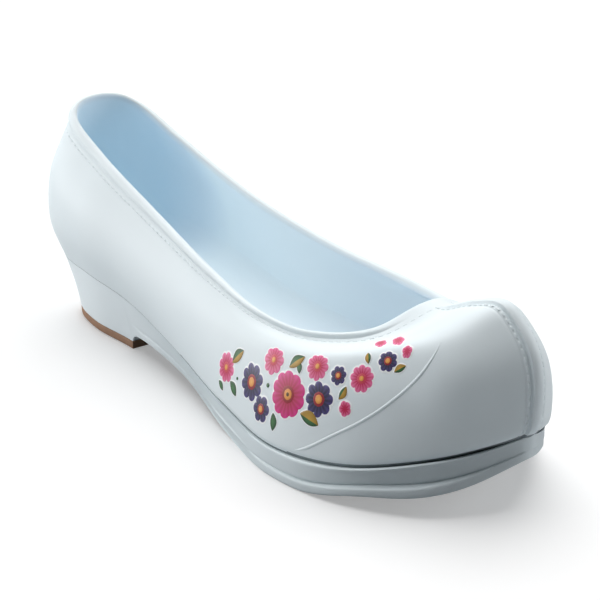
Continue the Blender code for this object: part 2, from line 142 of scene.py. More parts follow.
def splineThrough(points, before, after, fine=96):
    # centripetal curve through the points, with many small steps
    knots = [np.asarray(p, float) for p in (before, *points, after)]
    dense = []
    for p0, p1, p2, p3 in zip(knots, knots[1:], knots[2:], knots[3:]):
        t1 = lengths(p1 - p0) ** 0.5
        t2 = t1 + lengths(p2 - p1) ** 0.5
        t3 = t2 + lengths(p3 - p2) ** 0.5
        t = np.linspace(t1, t2, fine, endpoint=False)[:, None]
        a1 = ((t1 - t) * p0 + t * p1) / t1
        a2 = ((t2 - t) * p1 + (t - t1) * p2) / (t2 - t1)
        a3 = ((t3 - t) * p2 + (t - t2) * p3) / (t3 - t2)
        b1 = ((t2 - t) * a1 + t * a2) / t2
        b2 = ((t3 - t) * a2 + (t - t1) * a3) / (t3 - t1)
        dense.append(((t2 - t) * b1 + (t - t1) * b2) / (t2 - t1))
    dense.append(knots[-2][None])
    return np.concatenate(dense)


def openSpline(points):
    rows = np.array(points, float)
    return splineThrough(rows, 2 * rows[0] - rows[1], 2 * rows[-1] - rows[-2])


def lengthShares(points):
    steps = lengths(np.diff(points, axis=0))
    return np.concatenate([[0.0], np.cumsum(steps)]) / steps.sum()


def along(line, share):
    points, shares = line
    return np.stack([np.interp(share, shares, column) for column in points.T], -1)


def heightOver(table):
    dense = openSpline([(row[0], row[-1]) for row in table])
    return lambda x: np.interp(x, dense[:, 0], dense[:, 1])


def sideLine(table, side):
    # one side of an outline, rounded into the other side at heel and toe
    own, other = (1, 2) if side == lateral else (2, 1)
    near = [(row[0], row[own] * side) for row in table]
    far = [(row[0], -row[other] * side) for row in table]
    plan = splineThrough(near, far[1], far[-2])
    points = np.column_stack([plan, heightOver(table)(plan[:, 0])])
    return points, lengthShares(points)


def centreLine(table):
    points = openSpline([(row[0], 0.0, row[1]) for row in table])
    return points, lengthShares(points)


feather = {side: sideLine(shoe["feather"], side) for side in bothSides}
collar = {side: sideLine(shoe["collar"], side) for side in bothSides}
treadLine = {side: sideLine(shoe["tread"], side) for side in bothSides}
heelLine = centreLine(shoe["heelLine"])
toeLine = centreLine(shoe["toeLine"])
seatHeight = heightOver(shoe["feather"])
undersideHeight = heightOver(shoe["underside"])


def swell(line, v):
    # how far a profile stands out from the straight line between its ends
    ends = along(line, np.array([0.0, 1.0]))
    return along(line, v) - ((1 - v)[..., None] * ends[0] + v[..., None] * ends[1])


def outward(side, u):
    points, shares = feather[side]
    turn = np.gradient(points[:, :2], axis=0)
    out = np.column_stack([-turn[:, 1], turn[:, 0]]) * side
    out[0] = (-1.0, 0.0)
    out[-1] = (1.0, 0.0)
    out = unit(out)
    return np.stack([np.interp(u, shares, out[:, 0]), np.interp(u, shares, out[:, 1])], -1)


def paired(u, v):
    return np.broadcast_arrays(np.asarray(u, float), np.asarray(v, float))


def wallPoint(side, u, v):
    # outside of the upper: u from heel to toe, v from the sole up to the rim
    u, v = paired(u, v)
    body = (1 - v)[..., None] * along(feather[side], u) + v[..., None] * along(collar[side], u)
    fromToe = np.clip((1 - u) / shoe["toeReach"], 0.0, 1.0)
    toeShare = (1 - fromToe) ** 2 * (1 + 2 * shoe["toeRound"] * fromToe)
    body = body + toeShare[..., None] * swell(toeLine, v)
    counter = swell(heelLine, v) * (1 - smooth(u / shoe["heelReach"]))[..., None]
    out = outward(side, u)
    body[..., :2] -= counter[..., :1] * (1 + shoe["heelSideGain"] * np.abs(out[..., 1:])) * out
    body[..., 2] += counter[..., 2]
    body[..., 1] += side * shoe["sideFullness"] * 4 * v * (1 - v) * np.sin(math.pi * u)
    if side == lateral:
        middle, reach = shoe["capMiddle"], shoe["capReach"]
        cap = hump((u - middle[0]) / reach[0]) * hump((v - middle[1]) / reach[1])
        body[..., :2] += shoe["capFullness"] * cap[..., None] * out
    return body


def wallSlopes(side, u, v, step=0.004):
    u, v = paired(u, v)
    uLow, uHigh = np.clip(u - step, 0, 1), np.clip(u + step, 0, 1)
    vLow, vHigh = np.clip(v - step, 0, 1), np.clip(v + step, 0, 1)
    alongU = (wallPoint(side, uHigh, v) - wallPoint(side, uLow, v)) / (uHigh - uLow)[..., None]
    alongV = (wallPoint(side, u, vHigh) - wallPoint(side, u, vLow)) / (vHigh - vLow)[..., None]
    return alongU, alongV


def wallNormal(side, u, v):
    u, v = paired(u, v)
    alongU, alongV = wallSlopes(side, u, v)
    normal = np.cross(alongU, alongV) * -side
    middle = (u < 1e-6) | (u > 1 - 1e-6)
    normal[..., 1] = np.where(middle, 0.0, normal[..., 1])
    normal[..., 2] *= smooth(v / shoe["levelFoot"])
    return unit(normal)


# mesh tools

def deselect():
    bpy.ops.object.select_all(action="DESELECT")


def makeActive(piece):
    deselect()
    piece.select_set(True)
    bpy.context.view_layer.objects.active = piece


def weld(piece, threshold=0.004 * mm):
    makeActive(piece)
    bpy.ops.object.mode_set(mode="EDIT")
    bpy.ops.mesh.select_all(action="SELECT")
    bpy.ops.mesh.remove_doubles(threshold=threshold)
    bpy.ops.mesh.normals_make_consistent()
    bpy.ops.object.mode_set(mode="OBJECT")


def shapedGrid(name, points, slots=None):
    # a flat grid with its points moved to their places and meeting edges welded
    rows, columns = points.shape[:2]
    bpy.ops.mesh.primitive_grid_add(x_subdivisions=columns - 1, y_subdivisions=rows - 1, size=1.0)
    piece = bpy.context.active_object
    piece.name = piece.data.name = name
    placed = (points.reshape(-1, 3) - origin) * mm
    piece.data.vertices.foreach_set("co", placed.astype(np.float32).ravel())
    if slots is not None:
        piece.data.polygons.foreach_set("material_index", slots.astype(np.int32).ravel())
    piece.data.update()
    weld(piece)
    return piece


def joined(name, pieces):
    makeActive(pieces[0])
    for piece in pieces:
        piece.select_set(True)
    if len(pieces) > 1:
        bpy.ops.object.join()
    piece = bpy.context.active_object
    piece.name = piece.data.name = name
    return piece


def finishPiece(piece, materials, sharpAngle=40.0, replaced=None):
    makeActive(piece)
    bpy.ops.object.shade_smooth_by_angle(angle=math.radians(sharpAngle))
    for material in materials:
        piece.data.materials.append(material)
    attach(piece, "root")
    if replaced:
        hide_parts(replaced)
    print(piece.name, "made,", len(piece.data.polygons), "faces")


# materials

def linear(hexColour):
    # sRGB hex to the linear values that the shader reads
    parts = [int(hexColour[k:k + 2], 16) / 255 for k in (1, 3, 5)]
    return tuple(c / 12.92 if c <= 0.04045 else ((c + 0.055) / 1.055) ** 2.4 for c in parts) + (1.0,)


def setInputs(tree, node, inputs):
    # sockets are linked, constants set on the socket itself
    for key, value in inputs.items():
        if isinstance(value, bpy.types.NodeSocket):
            tree.links.new(value, node.inputs[key])
        else:
            node.inputs[key].default_value = value


def addNode(tree, kind, inputs=None, **settings):
    node = tree.nodes.new("ShaderNode" + kind)
    for key, value in settings.items():
        setattr(node, key, value)
    setInputs(tree, node, inputs or {})
    return node


def remap(tree, value, source=(0.0, 1.0), target=(0.0, 1.0)):
    ends = {"From Min": source[0], "From Max": source[1], "To Min": target[0], "To Max": target[1]}
    return addNode(tree, "MapRange", {"Value": value, **ends}).outputs["Result"]


def newMaterial(name):
    material = bpy.data.materials.new(name)
    material.use_nodes = True
    return material, material.node_tree, material.node_tree.nodes["Principled BSDF"]


def perMetre(sizeMm):
    # texture scale for a pattern whose cells are this large
    return 1.0 / (sizeMm * mm)


def colourAlong(tree, place, stops):
    # colour that changes from heel to toe, given at distances in mm
    first, last = stops[0][0], stops[-1][0]
    split = addNode(tree, "SeparateXYZ", {"Vector": place})
    share = remap(tree, split.outputs["X"], ((first - origin[0]) * mm, (last - origin[0]) * mm))
    ramp = addNode(tree, "ValToRGB", {"Fac": share})
    elements = ramp.color_ramp.elements
    elements.remove(elements[1])
    elements[0].color = linear(stops[0][1])
    for x, colour in stops[1:]:
        elements.new((x - first) / (last - first)).color = linear(colour)
    return ramp.outputs["Color"]


def mixColours(tree, factor, first, second):
    # each colour is sRGB hex or a socket
    first, second = [linear(colour) if isinstance(colour, str) else colour for colour in (first, second)]
    mix = addNode(tree, "Mix", {"Factor": factor, 6: first, 7: second}, data_type="RGBA")
    return mix.outputs[2]


def rubber(name, look):
    # moulded vinyl rubber: satin skin with fine mould grain and a slow drift of colour and gloss
    material, tree, shader = newMaterial(name)
    place = addNode(tree, "TexCoord").outputs["Object"]
    drift = addNode(tree, "TexNoise",
                    {"Vector": place, "Scale": perMetre(look["driftMm"]), "Detail": 3.0}).outputs["Fac"]
    grain = addNode(tree, "TexNoise",
                    {"Vector": place, "Scale": perMetre(look["grainMm"]), "Detail": 3.0, "Roughness": 0.6})
    deep, pale = [colour if isinstance(colour, str) else colourAlong(tree, place, colour)
                  for colour in (look["deep"], look["pale"])]
    tone = mixColours(tree, drift, deep, pale)
    gloss = remap(tree, drift, (0.3, 0.7), look["roughness"])
    bump = addNode(tree, "Bump",
                   {"Height": grain.outputs["Fac"], "Strength": look["grain"], "Distance": 0.1 * mm})
    setInputs(tree, shader, {"Base Color": tone, "Roughness": gloss, "Normal": bump.outputs["Normal"],
                             "IOR": look["ior"]})
    # painted light: an emission ramp from heel to toe that stands in for light, though the rubber is no lamp
    if "glow" in look:
        glow = colourAlong(tree, place, look["glow"])
        setInputs(tree, shader, {"Emission Color": glow, "Emission Strength": 1.0})
    return material


# painted glow standing in for daylight through the thin wall, painted darker at the closed heel and under
# the toe: distance in mm, colour
paintedWallLight = (
    (0, "#2c5063"), (36, "#3c4e5a"), (56, "#5e6a6c"), (105, "#535f62"), (139, "#2f424c"), (174, "#0c2831"),
)
# outer skin as it left the mould, near white with a breath of blue
paleRubber = rubber("moulded_pale_blue_rubber", {
    "deep": "#e1ebef", "pale": "#e8f1f4", "driftMm": 38.0, "grainMm": 0.8, "grain": 0.12,
    "roughness": (0.40, 0.50), "ior": 1.5})
# inner skin, duller, with a painted glow standing in for daylight through the thin wall
liningRubber = rubber("moulded_light_blue_lining", {
    "deep": "#dfe8ee", "pale": "#e5ecf1", "driftMm": 30.0, "grainMm": 0.9, "grain": 0.15,
    "roughness": (0.55, 0.65), "ior": 1.48, "glow": paintedWallLight})
# lower edge of the upper where it meets the sole: dull grey, painted shade standing in for the shadow in the
# groove under the upper
paintedShadeRubber = rubber("painted_shade_edge_rubber", {
    "deep": "#7f888c", "pale": "#8d979b", "driftMm": 12.0, "grainMm": 0.8, "grain": 0.3,
    "roughness": (0.7, 0.8), "ior": 1.48})
# sole skin, duller, paler at the heel and greyer towards the toe: painted light on the heel block and
# painted shade on the band under the toe: distance in mm, colour
soleRubber = rubber("moulded_sole_rubber", {
    "deep": ((0, "#eaf3f6"), (60, "#e6eff3"), (110, "#dae5e9"), (190, "#dae5e9"), (222, "#c2ccd0"),
             (250, "#cad4d8")),
    "pale": ((0, "#f0f7f9"), (60, "#ecf4f7"), (110, "#e2ecef"), (190, "#e2ecef"), (222, "#cad4d8"),
             (250, "#d2dce0")),
    "driftMm": 26.0, "grainMm": 0.9, "grain": 0.16,
    "roughness": (0.46, 0.56), "ior": 1.5})
# walking rubber under the heel, tan and matte with coarse filler grain
tanRubber = rubber("tan_walking_rubber", {
    "deep": "#8d6a52", "pale": "#a9846a", "driftMm": 3.0, "grainMm": 0.7, "grain": 0.4,
    "roughness": (0.65, 0.8), "ior": 1.48})
# foamed footbed with a soft pebbled face, and the same painted glow as the lining
footbedFoam = rubber("pebbled_footbed_foam", {
    "deep": "#dfe8ee", "pale": "#e5ecf1", "driftMm": 30.0, "grainMm": 1.6, "grain": 0.3,
    "roughness": (0.6, 0.7), "ior": 1.48, "glow": paintedWallLight})
print("rubber materials made")


def facing(place, aim):
    return (Vector(aim) - Vector(place)).to_track_quat("-Z", "Y").to_euler()


# camera at the photograph's viewing angle, closed in on the one shoe
camera = {
    "place": (0.6186, -0.4611, 0.3260),
    "aim": (0.0375, -0.0199, 0.0501),
    "lens": 143.0,
    "nearest": 0.01,
}
bpy.ops.object.camera_add(location=camera["place"])
viewCamera = bpy.context.active_object
viewCamera.name = "shoeCamera"
viewCamera.rotation_euler = facing(camera["place"], camera["aim"])
viewCamera.data.lens = camera["lens"]
viewCamera.data.clip_start = camera["nearest"]
bpy.context.scene.camera = viewCamera
print("camera set")


# upper: one moulded shell, up the outside, over the rolled rim and down the inside
upper = {
    "sideColumns": 230,
    "sideSpan": (0.055, 0.965),  # shares of the length that they lie between
    # closer columns, in mm from the back and toe lines, and how many lead over to the sides
    "heelSteps": (0, 1, 2, 3, 3.8, 4.3, 4.6, 4.8, 5.0, 5.15, 5.3, 5.45, 5.6, 6.0),
    "toeSteps": (
        6.0, 5.2, 4.75, 4.55, 4.4, 4.25, 4.1, 3.95, 3.6, 3.2, 2.9, 2.75, 2.62, 2.5, 2.38, 2.28, 2.18, 2.08,
        1.98, 1.88, 1.78, 1.65, 1.4, 1.0, 0.5, 0,
    ),
    "blendColumns": (8, 4),
    "strip": (5.0, 0.5, 0.5),  # half width, height and edge width of the back strip
    "piping": (1.7, 0.8, 0.5),  # the same for the toe piping
    "pipingCrown": 0.25,  # how much higher its middle stands, as a share
    # place, half width and depth of the lines beside its stitches
    "pipingLines": ((2.5, 0.26, 0.34), (4.25, 0.3, 0.16)),
    # rows up the wall: the lowest, then even ones, then some up to the rim
    "lowLevels": (0.0, 0.004, 0.009, 0.015, 0.022, 0.03, 0.042),
    "firstLevel": 0.06,
    "topLevel": 0.78,
    "levels": 40,
    "rimLead": 6,
    "tuck": (1.1, 0.038, 1.5),  # how far the bottom edge draws in, its share of the height, and its curve
    "tuckLeast": 0.1,  # share of that at heel and toe
    "tuckStart": (0.4, 0.25),  # where along the shoe it grows, and its run-in
    "tuckEnd": (0.95, 0.03),  # where it ends at the toe, and its run-out
    "settle": (0.32, 0.03),  # how far the bottom edge comes down, and its share of the height
    # where along the shoe each of the lowest rows starts to take the painted shade of the groove
    "joint": (0.0, 0.42, 0.54, 0.7),
    "throat": (0.86, 0.1),  # where the rolled bead starts to sink into the cap, and its run-out
    "plainEdge": (0.55, 1.8),  # how far the edge there turns in, and from how far below the crest
    "reliefEnd": (4.4, 1.6),  # how far below the crest strip and piping end, and their run-out
    "pipingEnd": (0.93, 0.08),  # where the piping sinks into the rim at the throat, and its run-out
    "innerLevels": 24,
    # below the crest, out from the wall: stitch channel, groove and rolled bead
    "rimOutside": (
        (8.2, 0.0), (7.6, 0.0), (7.2, -0.04), (6.8, -0.12), (6.4, -0.12), (6.0, -0.04), (5.6, 0.0),
        (5.2, 0.0), (4.85, -0.04), (4.6, -0.1), (4.4, -0.1), (4.2, 0.02), (4.05, 0.2), (3.9, 0.4),
        (3.65, 0.68), (3.3, 0.94), (2.9, 1.08), (2.4, 1.14), (1.9, 1.12), (1.4, 1.0), (0.95, 0.77),
        (0.55, 0.42), (0.25, 0.02), (0.0, -0.55),
    ),
    "rimInside": (
        (0.2, -1.1), (0.5, -1.5), (0.95, -1.85), (1.5, -2.08), (2.2, -2.2), (3.6, -2.2), (5.6, -2.2),
    ),
}
heelSteps = np.array(upper["heelSteps"])
toeSteps = np.array(upper["toeSteps"])
heelBlend, toeBlend = [np.linspace(0, 1, count + 2)[1:-1] for count in upper["blendColumns"]]
sideShares = np.linspace(*upper["sideSpan"], upper["sideColumns"])


def columnShares(side, v):
    # u of every column: true distances beside strip and piping, shares of length between
    perHeel = 1 / lengths(wallSlopes(side, np.zeros_like(v), v)[0])
    perToe = 1 / lengths(wallSlopes(side, np.ones_like(v), v)[0])
    a, b = len(heelSteps), len(heelSteps) + len(heelBlend)
    c, d = b + len(sideShares), b + len(sideShares) + len(toeBlend)
    u = np.empty_like(v)
    u[:a] = heelSteps * perHeel[:a]
    u[a:b] = (1 - heelBlend) * heelSteps[-1] * perHeel[a:b] + heelBlend * sideShares[0]
    u[b:c] = sideShares
    u[c:d] = (1 - toeBlend) * sideShares[-1] + toeBlend * (1 - toeSteps[0] * perToe[c:d])
    u[d:] = 1 - toeSteps * perToe[d:]
    return u


def columnRelief():
    half, height, edge = upper["strip"]
    heel = height * smooth((half + edge - heelSteps) / edge)
    half, height, edge = upper["piping"]
    crown = 1 + upper["pipingCrown"] * np.clip(1 - (toeSteps / half) ** 2, 0, 1)
    toe = height * crown * smooth((half + edge - toeSteps) / edge)
    for middle, width, depth in upper["pipingLines"]:
        toe -= depth * np.exp(-((toeSteps - middle) / width) ** 2)
    between = np.zeros(len(heelBlend) + len(sideShares) + len(toeBlend))
    return np.concatenate([heel, between, toe])


relief = columnRelief()
columnCount = len(relief)
toeColumn = np.arange(columnCount) >= columnCount - len(toeSteps)


def belowEdge(side, distance):
    # u and v of every column at a distance below the crest
    edge = np.ones(columnCount)
    alongV = wallSlopes(side, columnShares(side, edge), edge)[1]
    v = edge - distance / lengths(alongV)
    return columnShares(side, v), v


def tuckDepth(u, v):
    # how far the bottom edge draws in, most over the forefoot
    depth, share, curve = upper["tuck"]
    least = upper["tuckLeast"]
    fore = least + (1 - least) * easeIn(u, *upper["tuckStart"])
    fore = fore * (1 - (1 - least) * easeIn(u, *upper["tuckEnd"]))
    return depth * fore * np.clip(1 - v / share, 0, 1) ** curve


def upperRow(side, kind, value, offset, reliefShare):
    if kind == "level":
        v = np.full(columnCount, value)
    elif kind == "between":
        v = (1 - value) * upper["topLevel"] + value * belowEdge(side, upper["rimOutside"][0][0])[1]
    else:
        v = belowEdge(side, value)[1]
    u = columnShares(side, v)
    if offset == "tuck":
        offset = -tuckDepth(u, v)
    elif kind == "below":
        # at the throat the rolled bead gives way to a plain edge
        turnIn, reach = upper["plainEdge"]
        plain = -turnIn * max(1 - value / reach, 0.0) ** 2
        offset = offset + easeIn(u, *upper["throat"]) * (plain - offset)
    raised = np.where(toeColumn, relief * easeOut(v, *upper["pipingEnd"]), relief)
    wall = wallPoint(side, u, v)
    points = wall + (offset + reliefShare * raised)[..., None] * wallNormal(side, u, v)
    if kind == "level":
        # the bottom edge follows the seat that it has moved over
        settle, share = upper["settle"]
        drop = seatHeight(wall[:, 0]) - seatHeight(points[:, 0]) + settle
        points[:, 2] -= drop * np.clip(1 - v / share, 0, 1)
    return points


def upperRows():
    # kind of row, its place, how far it stands out from the wall, and share of the relief
    rows = [("level", v, "tuck", 1.0) for v in upper["lowLevels"]]
    even = np.linspace(upper["firstLevel"], upper["topLevel"], upper["levels"])
    rows += [("level", v, 0.0, 1.0) for v in even]
    rows += [("between", f, 0.0, 1.0) for f in np.linspace(0, 1, upper["rimLead"] + 2)[1:-1]]
    rows += [("below", b, out, easeIn(b, *upper["reliefEnd"])) for b, out in upper["rimOutside"]]
    outside = len(rows)
    rows += [("inside", b, out, 0.0) for b, out in upper["rimInside"]]
    inner = np.linspace(upper["topLevel"], 0.0, upper["innerLevels"])
    rows += [("level", v, -shoe["wall"], 0.0) for v in inner]
    return rows, outside


upperList, outsideRows = upperRows()
rings = []
for row in upperList + upperList[:1]:
    rings.append(np.concatenate([upperRow(lateral, *row), upperRow(medial, *row)[-2::-1]]))
columnPlaces = columnShares(lateral, np.zeros(columnCount))
ringPlaces = np.concatenate([columnPlaces, columnPlaces[-2::-1]])[:-1]
outerSkin, innerSkin, paintedShadeSlot = 0, 1, 2
slots = np.full((len(upperList), len(ringPlaces)), innerSkin)
slots[:outsideRows] = outerSkin
# the lowest rows over the forefoot get the painted shade of the groove
for row, start in enumerate(upper["joint"]):
    slots[row, ringPlaces >= start] = paintedShadeSlot
# the last two rows close the bottom edge, with the same painted shade
slots[-2:] = paintedShadeSlot
upperShell = shapedGrid("upperShell", np.array(rings), slots)
finishPiece(upperShell, [paleRubber, liningRubber, paintedShadeRubber], sharpAngle=50.0, replaced="upper")


# raised bead along the edge of the toe cap, one on each side
capSeam = {
    "path": ((0.69, 0.03), (0.716, 0.05), (0.767, 0.172), (0.829, 0.305), (0.875, 0.415), (0.905, 0.51),
             (0.93, 0.595), (0.96, 0.66), (0.985, 0.69)),
    "pathStep": 8,  # how many points of the fine path go to one ring
    "halfWidth": 0.65,
    "height": 0.26,
    "sink": 0.3,
    "around": 12,
    "taper": (0.15, 0.35),  # shares that thin out at the lower and upper end
    "taperLeast": 0.06,  # size next to the points
}


def sweptBead(name, side, path, bead):
    # rounded ridge along a path on the wall, tapered to a point at both ends
    u, v = path[:, 0], path[:, 1]
    points, normals = wallPoint(side, u, v), wallNormal(side, u, v)
    forward = unit(np.gradient(points, axis=0))
    across = np.cross(normals, forward)
    share = lengthShares(points)
    start, end = bead["taper"]
    taper = np.minimum(smooth(share / start), smooth((1 - share) / end))
    taper = np.maximum(taper, bead["taperLeast"])
    taper[[0, -1]] = 0.0
    turn = np.linspace(0, 2 * math.pi, bead["around"] + 1)
    sink = bead["sink"]
    rows = []
    for point, normal, sideways, size in zip(points, normals, across, taper):
        rows.append(point + size * bead["halfWidth"] * np.cos(turn)[:, None] * sideways
                    + (size * (bead["height"] + sink) * np.sin(turn)[:, None] - sink) * normal)
    return shapedGrid(name, np.array(rows))


seamPath = openSpline(capSeam["path"])[::capSeam["pathStep"]]
seamPath[-1] = capSeam["path"][-1]
beads = [sweptBead("capBead", side, seamPath, capSeam) for side in bothSides]
finishPiece(joined("capSeams", beads), [paleRubber], sharpAngle=60.0)


# moulded stitches: one small grain of rubber, copied along each row
stitch = {
    # mm from the crest or centre line, pitch, size along, across and up, and where the row runs
    "rim": {"below": 6.6, "pitch": 2.9, "size": (2.0, 0.65, 0.5), "sink": 0.15, "runPast": (3, 4)},
    "cap": {"fromLine": 3.4, "pitch": 2.6, "size": (2.0, 0.8, 0.6), "levels": (0.03, 0.93)},
    "strip": {"fromLine": 3.9, "pitch": 2.9, "size": (2.1, 0.6, 0.5), "levels": (0.04, 0.84)},
    "drawnOut": 0.45,  # how far each grain is drawn out from a ball to a dash
}


def evenPlaces(points, normals, pitch, step=0.002):
    # frames at an even pitch along a line on the surface
    line = points, lengthShares(points)
    length = lengths(np.diff(points, axis=0)).sum()
    count = int(length / pitch)
    share = (np.arange(count) + 0.5) / count
    spots = along(line, share)
    ups = along((normals, line[1]), share)
    ahead = along(line, np.clip(share + step, 0, 1)) - along(line, np.clip(share - step, 0, 1))
    return list(zip(spots, ahead, ups))


def stitchRow(name, places, size):
    deselect()
    bpy.ops.mesh.primitive_uv_sphere_add(segments=10, ring_count=6, radius=0.5)
    pattern = bpy.context.active_object
    draw = stitch["drawnOut"]
    for point in pattern.data.vertices:
        point.co.x = (point.co.x + math.copysign(draw, point.co.x)) / (1 + 2 * draw)
    copies = []
    for spot, ahead, up in places:
        up = Vector(up).normalized()
        across = up.cross(Vector(ahead)).normalized()
        ahead = across.cross(up)
        turn = Matrix((ahead * size[0] * mm, across * size[1] * mm, up * size[2] * mm)).transposed().to_4x4()
        copy = pattern.copy()
        copy.data = pattern.data.copy()
        copy.data.transform(Matrix.Translation(Vector((spot - origin) * mm)) @ turn)
        bpy.context.scene.collection.objects.link(copy)
        copies.append(copy)
    bpy.data.objects.remove(pattern)
    return joined(name, copies)


def rimPlaces(side):
    # the row runs on for a few columns, to the strip and the piping
    row = stitch["rim"]
    u, v = belowEdge(side, row["below"])
    pastHeel, pastToe = row["runPast"]
    inside = slice(len(heelSteps) - pastHeel, columnCount - len(toeSteps) + pastToe)
    u, v = u[inside], v[inside]
    normals = wallNormal(side, u, v)
    return evenPlaces(wallPoint(side, u, v) - row["sink"] * normals, normals, row["pitch"])


def centrePlaces(side, row, end, lift, samples=120):
    # a row at a fixed distance from the heel or toe line
    v = np.linspace(*row["levels"], samples)
    per = 1 / lengths(wallSlopes(side, np.full_like(v, end), v)[0])
    u = row["fromLine"] * per if end == 0 else 1 - row["fromLine"] * per
    normals = wallNormal(side, u, v)
    return evenPlaces(wallPoint(side, u, v) + lift * normals, normals, row["pitch"])


rimRow, capRow, stripRow = [], [], []
for side in bothSides:
    rimRow += rimPlaces(side)
    capRow += centrePlaces(side, stitch["cap"], 1, 0.0)
    stripRow += centrePlaces(side, stitch["strip"], 0, upper["strip"][1])
for name, key, places in (("rimStitches", "rim", rimRow), ("toeStitches", "cap", capRow),
                          ("heelStitches", "strip", stripRow)):
    finishPiece(stitchRow(name, places, stitch[key]["size"]), [paleRubber], sharpAngle=80.0)


# sole: wedge with heel block, ledge, groove, lip and grooved tread
sole = {
    # share of height, share of outset over the forefoot, rise of the ledge
    "edge": (
        (0, 0.1, 0), (0.006, 0.17, 0.3), (0.014, 0.26, 0.6), (0.024, 0.36, 0.74), (0.036, 0.46, 0.74),
        (0.052, 0.54, 0.62), (0.075, 0.58, 0.4), (0.11, 0.6, 0.15), (0.18, 0.62, 0), (0.3, 0.645, 0),
        (0.42, 0.67, 0), (0.51, 0.69, 0), (0.545, 0.685, 0), (0.57, 0.655, 0), (0.59, 0.59, 0),
        (0.606, 0.52, 0), (0.622, 0.5, 0), (0.636, 0.53, 0), (0.65, 0.63, 0), (0.664, 0.76, 0),
        (0.68, 0.85, 0), (0.7, 0.9, 0), (0.74, 0.935, 0), (0.8, 0.965, 0), (0.87, 0.99, 0),
        (0.93, 1, 0), (0.96, 0.985, 0), (0.985, 0.94, 0), (1, 0.86, 0),
    ),
    "welt": (105.0, 50.0),  # where the welt starts, and its run-in
    "weltLift": (244.0, 12.0),  # where the ledge ends at the toe, and its run-out
    "ledgeLeast": 0.6,
    "heelWaist": 0.35,  # how far the heel block bows in
    "archLip": (2.3, 0.2),  # height of the lip along the arch, and depth of the line over it
    "archStart": (0.4, 8.0),  # how far in front of the heel block the lip starts, and its run-in
    "lipTurn": 0.66,  # share of the rows that lie above the lip
    # share of height, depth as a share: the line over the lip
    "lipLine": ((0.545, 0.0), (0.59, 0.8), (0.606, 1.0), (0.622, 1.0), (0.64, 0.7), (0.68, 0.0)),
    # how far the band over the lip draws in at the toe, where it starts, and its run-in
    "bandTuck": (0.42, 190.0, 35.0),
    "bandStart": (0.04, 0.1),  # where down the edge it starts, and its run-in
    "bandEnd": (0.64, 0.05),
    "bandLean": 0.5,
    "breast": (62.98, 63.02, 63.3, 63.8, 64.5, 65.5),  # closer stations at the front of the heel
    "capSteps": (0.02, 0.5, 1.0),
    "stations": 210,
    "grooves": {"first": 150.0, "pitch": 7.0, "count": 13, "width": 2.0, "depth": 1.0, "border": 5.0},
}


def evenStations(count):
    # x along the feather line, closer together at both round ends
    x = along(feather[lateral], np.linspace(0, 1, count))[:, 0]
    breast = shifted(np.array(sole["breast"]), shoe["tread"], shoe["feather"])
    return np.unique(np.round(np.clip(np.concatenate([x, breast]), x[0], x[-1]), 4))


def shifted(x, source, target):
    # the same share of the length between the ends of another outline
    share = (x - source[0][0]) / (source[-1][0] - source[0][0])
    return target[0][0] + share * (target[-1][0] - target[0][0])


def treadX(x):
    return shifted(x, shoe["feather"], shoe["tread"])


def sideAt(line, x):
    return np.interp(x, line[0][:, 0], line[0][:, 1])


def underside(x):
    flat = x <= shoe["heelFront"] + 0.01
    return np.where(flat, shoe["underside"][0][1], np.maximum(undersideHeight(x), 0.0))


def toeRoll(x):
    slope, *reach = shoe["toeRoll"]
    return slope * easeIn(x, *reach)


def solePoints(row, side, x):
    share, outset, rise = row
    below = treadX(x)
    seat = np.column_stack([x, sideAt(feather[side], x), seatHeight(x) - shoe["seatGap"]])
    tread = np.column_stack([below, sideAt(treadLine[side], below), underside(below)])
    tread[:, 2] += toeRoll(below) * tread[:, 1]
    height = seat[:, 2] - tread[:, 2]
    fore = easeIn(x, *sole["welt"])
    overhang = side * (tread[:, 1] - seat[:, 1])
    lift = fore * easeOut(x, *sole["weltLift"]) * smooth(overhang - sole["ledgeLeast"])
    # along the arch the rows crowd towards a low lip at the lower edge
    lip, depth = sole["archLip"]
    arch = easeIn(below - shoe["heelFront"], *sole["archStart"]) * (1 - fore)
    turn = sole["lipTurn"]
    lipTop = 1 - lip / height
    aboveLip = share * lipTop / turn
    onLip = lipTop + (share - turn) * (1 - lipTop) / (1 - turn)
    share = share + arch * (np.where(share < turn, aboveLip, onLip) - share)
    waist = share * (1 + sole["heelWaist"] * (1 - share))
    tuck, *reach = sole["bandTuck"]
    band = easeIn(row[0], *sole["bandStart"]) * easeOut(row[0], *sole["bandEnd"])
    band = band * (sole["bandLean"] + row[0])
    outset = outset * (1 - tuck * band * easeIn(x, *reach))
    points = seat + (fore * outset + (1 - fore) * waist)[:, None] * (tread - seat)
    points[:, 1] -= side * arch * depth * np.interp(row[0], *zip(*sole["lipLine"]))
    points[:, 2] = seat[:, 2] + lift * rise - share * height
    return points


def closedRing(makeSide):
    # lateral side heel to toe, medial side back, and the first point again
    ring = np.concatenate([makeSide(lateral), makeSide(medial)[-2::-1]])
    ring[0] = ring[-1] = (ring[0] + ring[-1]) / 2
    return ring


def towardsMiddle(ring, share):
    # the same ring drawn in sideways to its own middle line
    half = (len(ring) + 1) // 2
    opposite = np.concatenate([ring[half - 1:][::-1], ring[:half - 1][::-1]])
    middle = (ring + opposite) / 2
    return ring + share * (middle - ring)


def capped(rows, steps):
    # closes the first and last ring with rows that meet on the middle line
    first = [towardsMiddle(rows[0], share) for share in steps[::-1]]
    final = [towardsMiddle(rows[-1], share) for share in steps]
    return np.array(first + rows + final)


def cutWith(piece, cutter):
    makeActive(piece)
    modifier = piece.modifiers.new("grooves", "BOOLEAN")
    modifier.operation = "DIFFERENCE"
    modifier.object = cutter
    modifier.solver = "EXACT"
    bpy.ops.object.modifier_apply(modifier=modifier.name)
    bpy.data.objects.remove(cutter)


